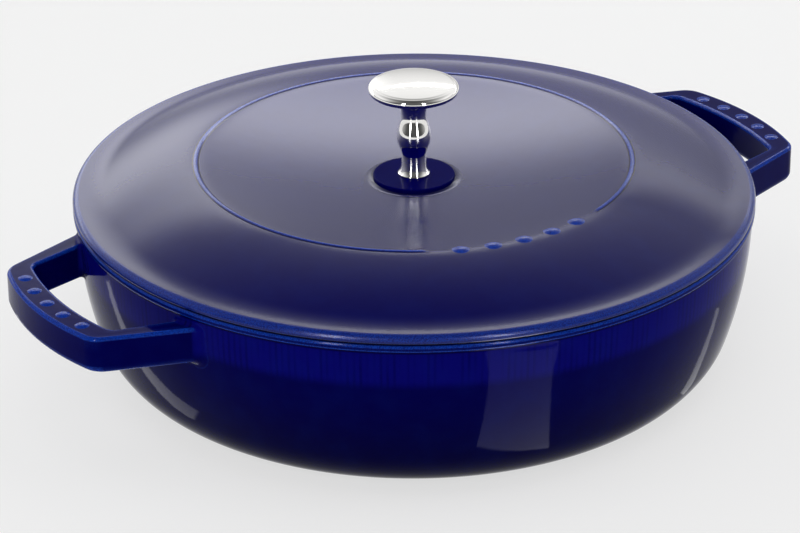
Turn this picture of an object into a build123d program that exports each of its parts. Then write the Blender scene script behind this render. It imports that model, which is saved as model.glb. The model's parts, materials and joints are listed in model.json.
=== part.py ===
from build123d import *
from math import asin, cos, degrees, hypot, radians, sin, sqrt, tan
import os

# A low, round, enamelled cast-iron pan with two loop handles, a loose lid and a screwed-on knob.
# Millimetres, +Z up. The origin is the middle of the base, on the surface that the pan stands on.
# The handles lie along X. The rim plane is the flat top of the pan, on which the lid rests.

# Pan: overall sizes
pan_height = 74.0
rim_radius = 142.0
wall_thickness = 4.2
floor_thickness = 4.8

# Pan: the bead round the rim, and the crease under it
crease_drop = 4.0
bead_proud = 1.0
bead_slope = 1.0
bead_top_round = 1.8
bead_low_round = 0.9
crease_round = 0.9
rim_inner_round = 0.9

# Pan: belly of the wall, and the turn from the wall into the base
belly_radius = 168.0
turn_radius = 28.0
inner_turn_radius = 24.0

# Pan: flat standing ring of the base, and the shallow recess inside it
foot_width = 8.35
recess_depth = 0.6
recess_slope = 1.2

# Handles: plan, measured outwards from the rim and sideways from the handle's middle
handle_projection = 35.2
handle_half_span = 37.4
handle_bow = 6.2
bar_width = 12.2
opening_half_span = 34.5
opening_bow = 4.5
outer_splay = 19.5
inner_splay = 14.0
outer_corner_round = 9.0
opening_corner_round = 6.0
root_depth = 30.0

# Handles: height below the rim plane, and roundings
handle_drop = 6.9
handle_height = 15.5
handle_top_round = 1.5
handle_low_round = 3.0
root_round = 2.2

# Lid: flange that rests on the rim
flange_thickness = 3.6
flange_top_round = 2.6
flange_low_round = 0.7
band_width = 9.5

# Lid: dome outside the ring, dish inside it, heights above the rim plane
dome_width = 41.9
crest_height = 15.3
crest_round = 30.0
dome_radius = 125.0
dish_depth = 9.9
lid_thickness = 4.0
crease_soften = 3.0

# Lid: raised ring, open at the front, and how far the loose lid lies turned
ring_wire_radius = 1.4
ring_proud = 0.8
ring_gap = 52.6
lid_turn = -3.5

# Lid: boss under the knob, and the flat pad below it for the washers
boss_radius = 17.1
boss_height = 1.8
boss_round = 0.7
pad_radius = 12.0
pad_proud = 0.5
screw_clearance = 0.3

# Lid: skirt that keeps it centred in the pan
skirt_clearance = 0.8
skirt_thickness = 3.0
skirt_depth = 4.0
skirt_round = 0.8

# Lid: drip nubs on the underside, in circles about the middle
nub_radius = 3.2
nub_height = 1.8
nub_sink = 0.6
nub_pitch = 25.0
first_nub_circle = 35.0
nub_edge_gap = 20.0

# Plain round studs: a row across the ring's gap, and a row on each handle
stud_count = 5
lid_stud_radius = 3.6
lid_stud_height = 0.8
lid_stud_pitch = 13.4
lid_stud_sink = 1.0
handle_stud_radius = 3.0
handle_stud_height = 0.6
handle_stud_pitch = 12.4
handle_stud_sink = 0.3

# Knob: radii of its turned outline, and their heights above its foot
knob_foot_radius = 7.3
knob_foot_height = 0.8
knob_waist_radius = 5.1
knob_waist_height = 8.2
knob_bulge_radius = 7.3
knob_bulge_height = 17.0
knob_neck_radius = 5.25
knob_neck_height = 27.0
knob_flare_radius = 8.0
knob_flare_height = 34.0
knob_head_radius = 18.75
knob_head_low = 36.2
knob_head_middle = 38.2
knob_head_top = 40.2
knob_face_radius = 17.4
knob_height = 41.5
knob_bore_depth = 13.0

# Fastening of the knob, from below
screw_radius = 3.0
screw_length = 18.0
screw_tip_chamfer = 0.8
screw_head_radius = 5.8
screw_head_height = 4.0
screw_head_round = 1.8
slot_width = 1.6
slot_depth = 2.0
thread_clearance = 0.05
washer_radius = 9.0
washer_bore_clearance = 0.2
washer_thickness = 1.6
lock_washer_radius = 5.9
lock_washer_bore_clearance = 0.1
lock_washer_thickness = 1.6
lock_washer_slit = 1.2
lock_washer_slit_angle = 30.0

# How near an edge must lie to a place to be picked, and how far a cut runs past what it cuts
pick_distance = 0.01
overrun = 2.0

# Worked-out places
crease_z = pan_height - crease_drop
wall_radius = rim_radius - bead_proud
cavity_radius = wall_radius - wall_thickness
handle_top_z = pan_height - handle_drop
handle_low_z = handle_top_z - handle_height
handle_reach = rim_radius + handle_projection
crest_z = pan_height + crest_height
flange_z = pan_height + flange_thickness
band_radius = rim_radius - band_width
ring_radius = band_radius - dome_width
dish_radius = (ring_radius**2 + dish_depth**2) / (dish_depth + dish_depth)
dish_centre_z = crest_z - dish_depth + dish_radius
skirt_radius = cavity_radius - skirt_clearance
skirt_inner_radius = skirt_radius - skirt_thickness
skirt_low_z = pan_height - skirt_depth
nub_circles = 1 + int((skirt_inner_radius - nub_edge_gap - first_nub_circle) / nub_pitch)


def rings(part, radius, height):
    """The circular edges of a turned part at one radius and height."""
    return [
        edge
        for edge in part.edges().filter_by(GeomType.CIRCLE)
        if abs(edge.radius - radius) < pick_distance
        and abs(edge.arc_center.Z - height) < pick_distance
    ]


def belly_angle(drop, belly, turn):
    """How far the belly's arc runs before the turn's arc takes over, to end level with the base."""
    return degrees(asin((drop - turn) / (belly - turn)))


def dish_height(radius, thickness=0):
    """Height of the dished middle of the lid, or of its underside, at a radius."""
    return dish_centre_z - sqrt((dish_radius + thickness) ** 2 - radius**2)


def arc_centre_below(start, end, radius):
    """Centre of the arc from start to end, on the lower side of the line between them."""
    half = hypot(end[0] - start[0], end[1] - start[1]) / 2
    middle = ((start[0] + end[0]) / 2, (start[1] + end[1]) / 2)
    reach = sqrt(radius**2 - half**2) / (half + half)
    return (
        middle[0] - reach * (start[1] - end[1]),
        middle[1] - reach * (end[0] - start[0]),
    )


def circles_meet(centre_a, radius_a, centre_b, radius_b):
    """The lower of the two points where two circles cross."""
    gap = hypot(centre_b[0] - centre_a[0], centre_b[1] - centre_a[1])
    along = (gap**2 + radius_a**2 - radius_b**2) / (gap + gap)
    aside = sqrt(radius_a**2 - along**2)
    unit = ((centre_b[0] - centre_a[0]) / gap, (centre_b[1] - centre_a[1]) / gap)
    return (
        centre_a[0] + along * unit[0] - aside * unit[1],
        centre_a[1] + along * unit[1] + aside * unit[0],
    )


dome_centre = arc_centre_below((ring_radius, crest_z), (band_radius, flange_z), dome_radius)


def dome_height(radius, thickness=0):
    """Height of the dome between ring and flange, or of its underside, at a radius."""
    inner = dome_radius - thickness
    return dome_centre[1] + sqrt(inner**2 - (radius - dome_centre[0]) ** 2)


def under_height(radius):
    """Height of the lid's underside at a radius."""
    if radius < under_crest[0]:
        return dish_height(radius, lid_thickness)
    return dome_height(radius, lid_thickness)


# The rounded crest lies a little below the point where dish and dome would meet
crest_bend = asin(ring_radius / dish_radius) + asin((ring_radius - dome_centre[0]) / dome_radius)
crest_top_z = crest_z - crest_round * (1 / cos(crest_bend / 2) - 1)


def cap_sphere(radius, height):
    """Radius of the ball of which a cap has this footprint and height."""
    return (radius**2 + height**2) / (height + height)


def cap_latitude(radius, height):
    """Latitude on that ball at which the cap is cut off."""
    ball = cap_sphere(radius, height)
    return degrees(asin((ball - height) / ball))


# Where the undersides of dish and dome cross, below the ring
under_crest = circles_meet(
    (0, dish_centre_z), dish_radius + lid_thickness, dome_centre, dome_radius - lid_thickness
)


# Handle: a flat loop, drawn from above, with its roots sunk in the wall of the pan
outer_corner = (handle_reach - handle_bow, handle_half_span)
opening_reach = handle_reach - bar_width
opening_corner = (opening_reach - opening_bow, opening_half_span)
root_reach = wall_radius - root_depth
outer_root = (
    root_reach,
    outer_corner[1] + (outer_corner[0] - root_reach) * tan(radians(outer_splay)),
)
opening_root = (
    root_reach,
    opening_corner[1] + (opening_corner[0] - root_reach) * tan(radians(inner_splay)),
)


def loop_outline(root, corner, reach, corner_round):
    """A closed loop: a bowed outer side, two splayed arms and a straight root, with round corners."""
    with BuildSketch(Plane.XY.offset(handle_low_z)) as outline:
        with BuildLine():
            ThreePointArc((corner[0], -corner[1]), (reach, 0), corner)
            Polyline(corner, root, (root[0], -root[1]), (corner[0], -corner[1]))
        make_face()
        fillet(outline.vertices().group_by(Axis.X)[-1], corner_round)
    return outline.sketch


with BuildPart() as handle:
    add(loop_outline(outer_root, outer_corner, handle_reach, outer_corner_round))
    extrude(amount=handle_height)
    add(loop_outline(opening_root, opening_corner, opening_reach, opening_corner_round))
    extrude(amount=handle_height, mode=Mode.SUBTRACT)
    fillet(handle.edges().group_by(Axis.Z)[-1], handle_top_round)
    fillet(handle.edges().group_by(Axis.Z)[0], handle_low_round)
    for place in range(stud_count):
        stud_y = (place - (stud_count - 1) / 2) * handle_stud_pitch
        bar_middle = handle_reach - bar_width / 2 - handle_bow * (stud_y / handle_half_span) ** 2
        cap_height = handle_stud_height + handle_stud_sink
        with Locations((bar_middle, stud_y, handle_top_z - handle_stud_sink)):
            Sphere(
                cap_sphere(handle_stud_radius, cap_height),
                arc_size1=cap_latitude(handle_stud_radius, cap_height),
                align=(Align.CENTER, Align.CENTER, Align.MIN),
            )


# Pan: turned outside with its rim bead, then the handles, and last the cavity
outer_angle = belly_angle(crease_z, belly_radius, turn_radius)
cavity_belly = belly_radius - wall_thickness
cavity_angle = belly_angle(crease_z - floor_thickness, cavity_belly, inner_turn_radius)
foot_radius = wall_radius - belly_radius + (belly_radius - turn_radius) * cos(radians(outer_angle))
recess_radius = foot_radius - foot_width - recess_slope

with BuildPart() as pan:
    with BuildSketch(Plane.XZ):
        with BuildLine():
            belly = JernArc((wall_radius, crease_z), (0, -1), belly_radius, -outer_angle)
            turn = JernArc(belly @ 1, belly % 1, turn_radius, -(90 - outer_angle))
            Polyline(
                turn @ 1,
                (recess_radius + recess_slope, 0),
                (recess_radius, recess_depth),
                (0, recess_depth),
                (0, pan_height),
                (rim_radius, pan_height),
                (rim_radius, crease_z + bead_slope),
                (wall_radius, crease_z),
            )
        make_face()
    revolve(axis=Axis.Z)
    fillet(rings(pan, rim_radius, pan_height), bead_top_round)
    fillet(rings(pan, rim_radius, crease_z + bead_slope), bead_low_round)
    fillet(rings(pan, wall_radius, crease_z), crease_round)
    add(handle.part)
    add(handle.part.rotate(Axis.Z, 180))
    fillet(pan.edges(Select.NEW), root_round)
    with BuildSketch(Plane.XZ):
        with BuildLine():
            wall = JernArc((cavity_radius, crease_z), (0, -1), cavity_belly, -cavity_angle)
            corner = JernArc(wall @ 1, wall % 1, inner_turn_radius, -(90 - cavity_angle))
            Polyline(
                corner @ 1,
                (0, floor_thickness),
                (0, pan_height + overrun),
                (cavity_radius, pan_height + overrun),
                (cavity_radius, crease_z),
            )
        make_face()
    revolve(axis=Axis.Z, mode=Mode.SUBTRACT)
    fillet(rings(pan, cavity_radius, pan_height), rim_inner_round)
pan.part.label = "pan"


# Lid: one turned casting, then its relief above and its nubs below
boss_z = dish_height(boss_radius) + boss_height
pad_z = dish_height(0, lid_thickness) - pad_proud

with BuildPart() as lid:
    with BuildSketch(Plane.XZ):
        with BuildLine():
            Polyline(
                (screw_radius + screw_clearance, boss_z),
                (boss_radius, boss_z),
                (boss_radius, dish_height(boss_radius)),
            )
            ThreePointArc(
                (boss_radius, dish_height(boss_radius)),
                (ring_radius / 2, dish_height(ring_radius / 2)),
                (ring_radius, crest_z),
            )
            dome_middle = (ring_radius + band_radius) / 2
            ThreePointArc(
                (ring_radius, crest_z),
                (dome_middle, dome_height(dome_middle)),
                (band_radius, flange_z),
            )
            Polyline(
                (band_radius, flange_z),
                (rim_radius, flange_z),
                (rim_radius, pan_height),
                (skirt_radius, pan_height),
                (skirt_radius, skirt_low_z),
                (skirt_inner_radius, skirt_low_z),
                (skirt_inner_radius, dome_height(skirt_inner_radius, lid_thickness)),
            )
            under_middle = (under_crest[0] + skirt_inner_radius) / 2
            ThreePointArc(
                (skirt_inner_radius, dome_height(skirt_inner_radius, lid_thickness)),
                (under_middle, dome_height(under_middle, lid_thickness)),
                under_crest,
            )
            ThreePointArc(
                under_crest,
                (under_crest[0] / 2, dish_height(under_crest[0] / 2, lid_thickness)),
                (pad_radius, dish_height(pad_radius, lid_thickness)),
            )
            Polyline(
                (pad_radius, dish_height(pad_radius, lid_thickness)),
                (pad_radius, pad_z),
                (screw_radius + screw_clearance, pad_z),
                (screw_radius + screw_clearance, boss_z),
            )
        make_face()
    revolve(axis=Axis.Z)
    fillet(rings(lid, rim_radius, flange_z), flange_top_round)
    fillet(rings(lid, rim_radius, pan_height), flange_low_round)
    fillet(rings(lid, band_radius, flange_z), crease_soften)
    fillet(rings(lid, ring_radius, crest_z), crest_round)
    fillet(rings(lid, boss_radius, boss_z), boss_round)
    fillet(rings(lid, skirt_radius, skirt_low_z), skirt_round)
    fillet(rings(lid, skirt_inner_radius, skirt_low_z), skirt_round)

    # Raised ring: a round wire sunk in the crest, open at the front, with ball ends
    wire_z = crest_top_z + ring_proud - ring_wire_radius
    start = radians(lid_turn + ring_gap / 2 - 90)
    wire_plane = Plane((0, 0, 0), x_dir=(cos(start), sin(start), 0), z_dir=(sin(start), -cos(start), 0))
    with BuildSketch(wire_plane):
        with Locations((ring_radius, wire_z)):
            Circle(ring_wire_radius)
    revolve(axis=Axis.Z, revolution_arc=360 - ring_gap)
    for side in (-1, 1):
        end_turn = radians(lid_turn + side * ring_gap / 2)
        with Locations((ring_radius * sin(end_turn), -ring_radius * cos(end_turn), wire_z)):
            Sphere(ring_wire_radius)

    # Row of plain studs along the ring's circle, in its gap
    for place in range(stud_count):
        turn_by = radians(lid_turn) + (place - (stud_count - 1) / 2) * lid_stud_pitch / ring_radius
        cap_height = lid_stud_height + lid_stud_sink
        with Locations((ring_radius * sin(turn_by), -ring_radius * cos(turn_by), crest_top_z - lid_stud_sink)):
            Sphere(
                cap_sphere(lid_stud_radius, cap_height),
                arc_size1=cap_latitude(lid_stud_radius, cap_height),
                align=(Align.CENTER, Align.CENTER, Align.MIN),
            )

    # Drip nubs, evenly spaced on circles about the middle
    for circle in range(nub_circles):
        circle_radius = first_nub_circle + circle * nub_pitch
        nub_count = round(radians(360) * circle_radius / nub_pitch)
        with Locations((0, 0, under_height(circle_radius) + nub_sink)):
            with PolarLocations(circle_radius, nub_count):
                Sphere(
                    cap_sphere(nub_radius, nub_height + nub_sink),
                    arc_size1=cap_latitude(nub_radius, nub_height + nub_sink),
                    rotation=(180, 0, 0),
                    align=(Align.CENTER, Align.CENTER, Align.MIN),
                )
lid.part.label = "lid"


# Knob: turned from bar, with a blind tapped hole in its foot
with BuildPart() as knob:
    with BuildSketch(Plane.XZ):
        with BuildLine():
            Polyline((0, boss_z + knob_height), (0, boss_z), (knob_foot_radius, boss_z))
            Line((knob_foot_radius, boss_z), (knob_foot_radius, boss_z + knob_foot_height))
            stem = Spline(
                (knob_foot_radius, boss_z + knob_foot_height),
                (knob_waist_radius, boss_z + knob_waist_height),
                (knob_bulge_radius, boss_z + knob_bulge_height),
                (knob_neck_radius, boss_z + knob_neck_height),
                (knob_flare_radius, boss_z + knob_flare_height),
                tangents=((-1, 1), (1, 1)),
            )
            Line(stem @ 1, (knob_face_radius, boss_z + knob_head_low))
            ThreePointArc(
                (knob_face_radius, boss_z + knob_head_low),
                (knob_head_radius, boss_z + knob_head_middle),
                (knob_face_radius, boss_z + knob_head_top),
            )
            face_rise = knob_height - knob_head_top
            face_ball = cap_sphere(knob_face_radius, face_rise)
            face_half = knob_face_radius / 2
            ThreePointArc(
                (knob_face_radius, boss_z + knob_head_top),
                (face_half, boss_z + knob_height - face_ball + sqrt(face_ball**2 - face_half**2)),
                (0, boss_z + knob_height),
            )
        make_face()
    revolve(axis=Axis.Z)
    with Locations(Plane.XY.offset(boss_z).location):
        Cylinder(
            screw_radius + thread_clearance,
            knob_bore_depth,
            align=(Align.CENTER, Align.CENTER, Align.MIN),
            mode=Mode.SUBTRACT,
        )
knob.part.label = "knob"


def plain_washer(radius, bore, thickness, top_z):
    """A flat ring with its top face at top_z."""
    with BuildPart() as ring:
        with BuildSketch(Plane.XY.offset(top_z)):
            Circle(radius)
            Circle(bore, mode=Mode.SUBTRACT)
        extrude(amount=-thickness)
    return ring.part


# Washers under the pad, and the screw that clamps lid and knob together
lock_washer_z = pad_z - washer_thickness
screw_seat_z = lock_washer_z - lock_washer_thickness

with BuildPart() as flat_washer:
    add(plain_washer(washer_radius, screw_radius + washer_bore_clearance, washer_thickness, pad_z))
flat_washer.part.label = "flat_washer"

with BuildPart() as lock_washer:
    bore = screw_radius + lock_washer_bore_clearance
    add(plain_washer(lock_washer_radius, bore, lock_washer_thickness, lock_washer_z))
    with Locations((lock_washer_radius, 0, lock_washer_z - lock_washer_thickness / 2)):
        Box(
            lock_washer_radius + lock_washer_radius,
            lock_washer_slit,
            lock_washer_thickness + overrun + overrun,
            rotation=(lock_washer_slit_angle, 0, 0),
            mode=Mode.SUBTRACT,
        )
lock_washer.part.label = "lock_washer"

with BuildPart() as knob_screw:
    with BuildSketch(Plane.XY.offset(screw_seat_z)):
        Circle(screw_head_radius)
    extrude(amount=-screw_head_height)
    fillet(rings(knob_screw, screw_head_radius, screw_seat_z - screw_head_height), screw_head_round)
    with BuildSketch(Plane.XY.offset(screw_seat_z)):
        Circle(screw_radius)
    extrude(amount=screw_length)
    chamfer(rings(knob_screw, screw_radius, screw_seat_z + screw_length), screw_tip_chamfer)
    with BuildSketch(Plane.XY.offset(screw_seat_z - screw_head_height)):
        Rectangle(screw_head_radius * 2 + overrun, slot_width)
    extrude(amount=slot_depth, mode=Mode.SUBTRACT)
knob_screw.part.label = "knob_screw"


os.makedirs("parts", exist_ok=True)
for piece in (pan, lid, knob, knob_screw, lock_washer, flat_washer):
    export_step(piece.part, f"parts/{piece.part.label}.step")
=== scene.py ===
"""A round enamelled cast-iron braiser with a loose lid and a turned knob, dressed around its frame.

Metres, +Z up. The origin is the middle of the base, on the surface that the pan stands on. The
handles lie along X, and the gap in the lid's raised ring faces -Y.
"""

from __future__ import annotations

import json
import logging
import math
from collections.abc import Callable, Sequence
from dataclasses import dataclass, field, replace
from enum import Enum
from typing import TypeVar, Union

import bmesh
import bpy
from mathutils import Matrix, Vector

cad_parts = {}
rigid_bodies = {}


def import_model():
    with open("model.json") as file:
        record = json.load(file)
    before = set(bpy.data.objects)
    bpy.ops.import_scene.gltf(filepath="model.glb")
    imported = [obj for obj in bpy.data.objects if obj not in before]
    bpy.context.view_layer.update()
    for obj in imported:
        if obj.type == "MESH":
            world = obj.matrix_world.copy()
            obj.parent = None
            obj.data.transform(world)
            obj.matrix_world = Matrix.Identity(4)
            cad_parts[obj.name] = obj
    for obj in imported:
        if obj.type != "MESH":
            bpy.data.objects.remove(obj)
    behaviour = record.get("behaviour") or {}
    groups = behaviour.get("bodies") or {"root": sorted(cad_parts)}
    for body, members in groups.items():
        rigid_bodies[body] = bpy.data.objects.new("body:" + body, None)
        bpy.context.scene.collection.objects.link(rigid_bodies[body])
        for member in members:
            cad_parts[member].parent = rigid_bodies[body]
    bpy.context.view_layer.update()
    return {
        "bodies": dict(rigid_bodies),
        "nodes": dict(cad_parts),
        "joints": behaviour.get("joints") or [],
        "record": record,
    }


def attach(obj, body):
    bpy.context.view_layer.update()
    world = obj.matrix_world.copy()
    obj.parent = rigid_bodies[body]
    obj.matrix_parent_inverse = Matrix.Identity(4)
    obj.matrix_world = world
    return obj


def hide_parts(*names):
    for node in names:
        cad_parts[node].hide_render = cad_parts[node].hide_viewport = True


log = logging.getLogger("braiser")

MM = 0.001
FACET_TURN = math.radians(9.0)  # the most that a rounding turns from facet to facet
FEWEST_CORNER_FACETS = 3
SUPPORT = 0.25 * MM  # width of the narrow facet at each end of a straight run
LONGEST_FACET = 6.0 * MM
LONGEST_CORNER_FACET = 1.5 * MM
SECTORS = 16  # equal parts that a finely turned surface is spun in
FACETS_SPUN_WHOLE = 100  # a surface with no more facets than this is spun in one go
JOINED_WITHIN = 0.004 * MM
EDGE_LAYER = "thin_glaze"
POOL_LAYER = "pooled_glaze"

Colour = tuple[float, float, float, float]
Span = tuple[float, float]
Place = tuple[float, float, float]
Run = list[Vector]
Feed = Union[bpy.types.NodeSocket, float, tuple, Vector]
Amount = TypeVar("Amount", float, Vector)

WHITE: Colour = (1.0, 1.0, 1.0, 1.0)


class Slot(Enum):
    """Material slots of the record, for the pieces that are modelled again here."""

    IRON = "enamelled_iron"
    NICKEL = "polished_nickel"


class Coat(Enum):
    """Material slot of a face of the enamelled iron."""

    GLOSSY = 0
    MATTE = 1
    RAISED = 2
    BOSS = 3


class Ease(Enum):
    """How a mapped value goes from one end of its range to the other."""

    SMOOTH = "SMOOTHSTEP"
    STRAIGHT = "LINEAR"


def smoothstep(low: float, high: float, value: float) -> float:
    """Eases from 0 at low to 1 at high."""
    share = min(1.0, max(0.0, (value - low) / (high - low)))
    return share * share * (3 - 2 * share)


def hermite(knots: Sequence[Amount], slopes: Sequence[Amount], share: float) -> Amount:
    """A value of the smooth curve between two knots.

    Args:
        knots: Values at its start and end.
        slopes: Slopes there, for a whole run of the curve.
        share: Place along it, from 0 to 1.

    Returns:
        The value.
    """
    square, cube = share**2, share**3
    return (
        (2 * cube - 3 * square + 1) * knots[0]
        + (cube - 2 * square + share) * slopes[0]
        + (3 * square - 2 * cube) * knots[1]
        + (cube - square) * slopes[1]
    )


def conic(start: Vector, tip: Vector, end: Vector, bend: float, share: float) -> Vector:
    """A point of a rounded corner.

    Args:
        start: Where the rounding starts.
        tip: Where the tangents at its ends meet.
        end: Where it ends.
        bend: Its turn in radians, which makes it circular, or 0 for a parabola.
        share: Place along it, from 0 to 1.

    Returns:
        The point.
    """
    pull = math.cos(bend / 2)
    weights = ((1 - share) ** 2, 2 * pull * share * (1 - share), share**2)
    return (weights[0] * start + weights[1] * tip + weights[2] * end) / sum(weights)


def line(start: Vector, end: Vector) -> Run:
    """A straight run of an outline."""
    return [start.copy(), end.copy()]


def arc(centre: Vector, radius: float, first: float, last: float, steps: int) -> Run:
    """A run along a circle.

    Args:
        centre: Middle of the circle.
        radius: Its radius.
        first: Angle of the first point, in radians from the outline's first axis.
        last: Angle of the last point.
        steps: How many facets the run has.

    Returns:
        The points, ends included.
    """
    angles = (first + (last - first) * step / steps for step in range(steps + 1))
    return [centre + radius * Vector((math.cos(angle), math.sin(angle))) for angle in angles]


def trimmed(run: Sequence[Vector], cut: float) -> Run:
    """A run without the given length of its start.

    Args:
        run: Its points.
        cut: The length that goes.

    Returns:
        The points that stay, from the cut on.

    Raises:
        ValueError: The run is shorter than the cut.
    """
    left = cut
    for place, (here, after) in enumerate(zip(run, run[1:])):
        length = (after - here).length
        if length > left:
            return [here.lerp(after, left / length), *run[place + 1 :]]
        left -= length
    raise ValueError("a rounding is larger than its run")


def graded(start: Vector, end: Vector) -> Run:
    """A straight run cut into facets, with a narrow one at each end that keeps its shading flat.

    Args:
        start: Where it starts.
        end: Where it ends.

    Returns:
        The points, ends included.
    """
    length = (end - start).length
    if length < 4 * SUPPORT:
        return [start, end]
    inner = length - 2 * SUPPORT
    count = math.ceil(inner / LONGEST_FACET)
    places = [SUPPORT + inner * step / count for step in range(count + 1)]
    return [start, *(start.lerp(end, place / length) for place in places), end]


@dataclass
class Outline:
    """A line made of straight and curved runs, with a rounding wherever two runs meet."""

    runs: list[Run] = field(default_factory=list)
    roundings: list[float] = field(default_factory=list)

    def add(self, run: Run, rounding: float = 0.0) -> Outline:
        """Adds a run that starts where the last one ends.

        Args:
            run: Its points.
            rounding: Radius of the corner at its start.

        Returns:
            The outline itself.
        """
        self.runs.append(run)
        self.roundings.append(rounding)
        return self

    def to(self, first: float, second: float, rounding: float = 0.0) -> Outline:
        """Adds a straight run to a point, with the corner at its start rounded."""
        return self.add(line(self.runs[-1][-1], Vector((first, second))), rounding)

    def points(self) -> Run:
        """The whole line, with its roundings as circular corners.

        Returns:
            Its points.
        """
        starts = [0.0] * len(self.runs)
        ends = [0.0] * len(self.runs)
        bends = [0.0] * len(self.runs)
        for place in range(1, len(self.runs)):
            before, after = self.runs[place - 1], self.runs[place]
            bends[place] = (before[-1] - before[-2]).angle(after[1] - after[0], 0.0)
            setback = self.roundings[place] * math.tan(bends[place] / 2)
            ends[place - 1] = starts[place] = setback
        result: Run = []
        for place, run in enumerate(self.runs):
            kept = trimmed(run, starts[place]) if starts[place] else list(run)
            kept = trimmed(kept[::-1], ends[place])[::-1] if ends[place] else kept
            if len(run) == 2:
                kept = graded(kept[0], kept[-1])
            if starts[place]:
                result += self.corner(result[-1], run[0], kept[0], bends[place])
            result += kept if starts[place] or not result else kept[1:]
        return result

    @staticmethod
    def corner(start: Vector, tip: Vector, end: Vector, bend: float) -> Run:
        """The points between the ends of a circular corner.

        Args:
            start: Where the corner starts.
            tip: Where the tangents at its ends meet.
            end: Where it ends.
            bend: Its turn, in radians.

        Returns:
            The points, without the ends.
        """
        around = (tip - start).length * bend / math.tan(bend / 2)
        by_turn, by_length = bend / FACET_TURN, around / LONGEST_CORNER_FACET
        steps = max(FEWEST_CORNER_FACETS, math.ceil(by_turn), math.ceil(by_length))
        return [conic(start, tip, end, bend, step / steps) for step in range(1, steps)]


def height_on(outline: Sequence[Vector], radius: float) -> float:
    """Height of a half section at a radius, eased between its points.

    Args:
        outline: The half section, whose radius only grows.
        radius: Where its height is wanted.

    Returns:
        The height.
    """
    beyond = (index for index, point in enumerate(outline) if point.x > radius)
    place = min(max(next(beyond, len(outline) - 1), 2), len(outline) - 2)
    before, here, after, last = outline[place - 2 : place + 2]
    width = after.x - here.x
    share = min(1.0, max(0.0, (radius - here.x) / width))
    slopes = [
        width * (end.y - start.y) / (end.x - start.x)
        for start, end in ((before, after), (here, last))
    ]
    return hermite((here.y, after.y), slopes, share)


def merge(
    mesh: bmesh.types.BMesh, part: bmesh.types.BMesh, turns: Sequence[float] = (0.0,)
) -> None:
    """Moves a small mesh into a larger one, once after each turn round the Z axis.

    Args:
        mesh: The larger mesh.
        part: The small one, which is freed.
        turns: The turns, in radians. Each starts where the last one ended.
    """
    data = bpy.data.meshes.new("part")
    part.to_mesh(data)
    part.free()
    for turn in turns:
        data.transform(Matrix.Rotation(turn, 4, "Z"))
        mesh.from_mesh(data)
    bpy.data.meshes.remove(data)


def turned(mesh: bmesh.types.BMesh, outline: Sequence[Vector], steps: int, coat: Coat) -> None:
    """Spins a half section, given as radius and height, once round the Z axis.

    Args:
        mesh: The mesh that gets it.
        outline: The half section.
        steps: Facets of the whole turn. Many are spun as one sector, which is then repeated.
        coat: The enamel that covers it.
    """
    sectors = SECTORS if steps > FACETS_SPUN_WHOLE else 1
    part = bmesh.new()
    verts = [part.verts.new((point.x, 0, point.y)) for point in outline]
    edges = [part.edges.new(pair) for pair in zip(verts, verts[1:])]
    bmesh.ops.spin(
        part,
        geom=verts + edges,
        cent=(0, 0, 0),
        axis=(0, 0, 1),
        angle=math.tau / sectors,
        steps=steps // sectors,
        use_merge=sectors == 1,
    )
    for face in part.faces:
        face.material_index = coat.value
    merge(mesh, part, [0.0] + [math.tau / sectors] * (sectors - 1))


@dataclass(frozen=True)
class Relief:
    """A low round stud that grows out of a surface, or a nub that hangs from it.

    Its height is negative when it hangs. Its foot is sunk a little, so that no gap shows. A larger
    flatness makes its top flatter, and a larger softness makes its foot run out more gently.
    """

    radius: float
    height: float
    steps: int
    rings: int
    flatness: float = 3.0
    softness: float = 1.4
    sink: float = 0.02 * MM

    def add(
        self, mesh: bmesh.types.BMesh, place: Vector, surface: Callable[[Vector], float]
    ) -> None:
        """Adds it to a mesh.

        Args:
            mesh: The mesh that gets it.
            place: Where its middle stands, in plan.
            surface: Gives the surface's height at a point of the plan.
        """
        before = len(mesh.verts)
        reach = [Vector((self.radius * ring / self.rings, 0)) for ring in range(self.rings + 1)]
        turned(mesh, reach, self.steps, Coat.RAISED if self.height > 0 else Coat.MATTE)
        mesh.verts.ensure_lookup_table()
        for vert in mesh.verts[before:]:
            share = min(1.0, vert.co.xy.length / self.radius)
            spot = place + vert.co.xy
            rise = self.height * (1 - share**self.flatness) ** self.softness
            rise -= math.copysign(self.sink, self.height)
            vert.co = (spot.x, spot.y, surface(spot) + rise)


@dataclass(frozen=True)
class GlazeMarks:
    """Marks where the glaze runs thin and where it pools, from how sharply the iron curves.

    Curves are in radians of bend a metre, from where a mark starts to where it is full.
    """

    thin: Span = (200.0, 540.0)
    pooled: Span = (80.0, 500.0)
    own_share: float = 0.4

    def store(self, mesh: bmesh.types.BMesh) -> None:
        """Stores both marks as layers of the mesh, each eased once with its neighbours.

        Args:
            mesh: The enamelled mesh. Its raised studs count as thin all over.
        """
        thin = mesh.verts.layers.float.new(EDGE_LAYER)
        pool = mesh.verts.layers.float.new(POOL_LAYER)
        for vert in mesh.verts:
            area = sum(face.calc_area() / len(face.verts) for face in vert.link_faces)
            bend = sum(
                edge.calc_face_angle_signed(0.0) * edge.calc_length() for edge in vert.link_edges
            )
            curve = bend / (2 * area) if area else 0.0
            raised = all(face.material_index == Coat.RAISED.value for face in vert.link_faces)
            vert[thin] = 1.0 if raised else smoothstep(*self.thin, curve)
            vert[pool] = smoothstep(*self.pooled, -curve)
        for layer in (thin, pool):
            eased = [self.eased(vert, layer) for vert in mesh.verts]
            for vert, value in zip(mesh.verts, eased):
                vert[layer] = value

    def eased(self, vert: bmesh.types.BMVert, layer: bmesh.types.BMLayerItem) -> float:
        """A vertex's mark, mixed with the mean of its neighbours' marks."""
        near = sum(edge.other_vert(vert)[layer] for edge in vert.link_edges)
        return self.own_share * vert[layer] + (1 - self.own_share) * near / len(vert.link_edges)


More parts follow.
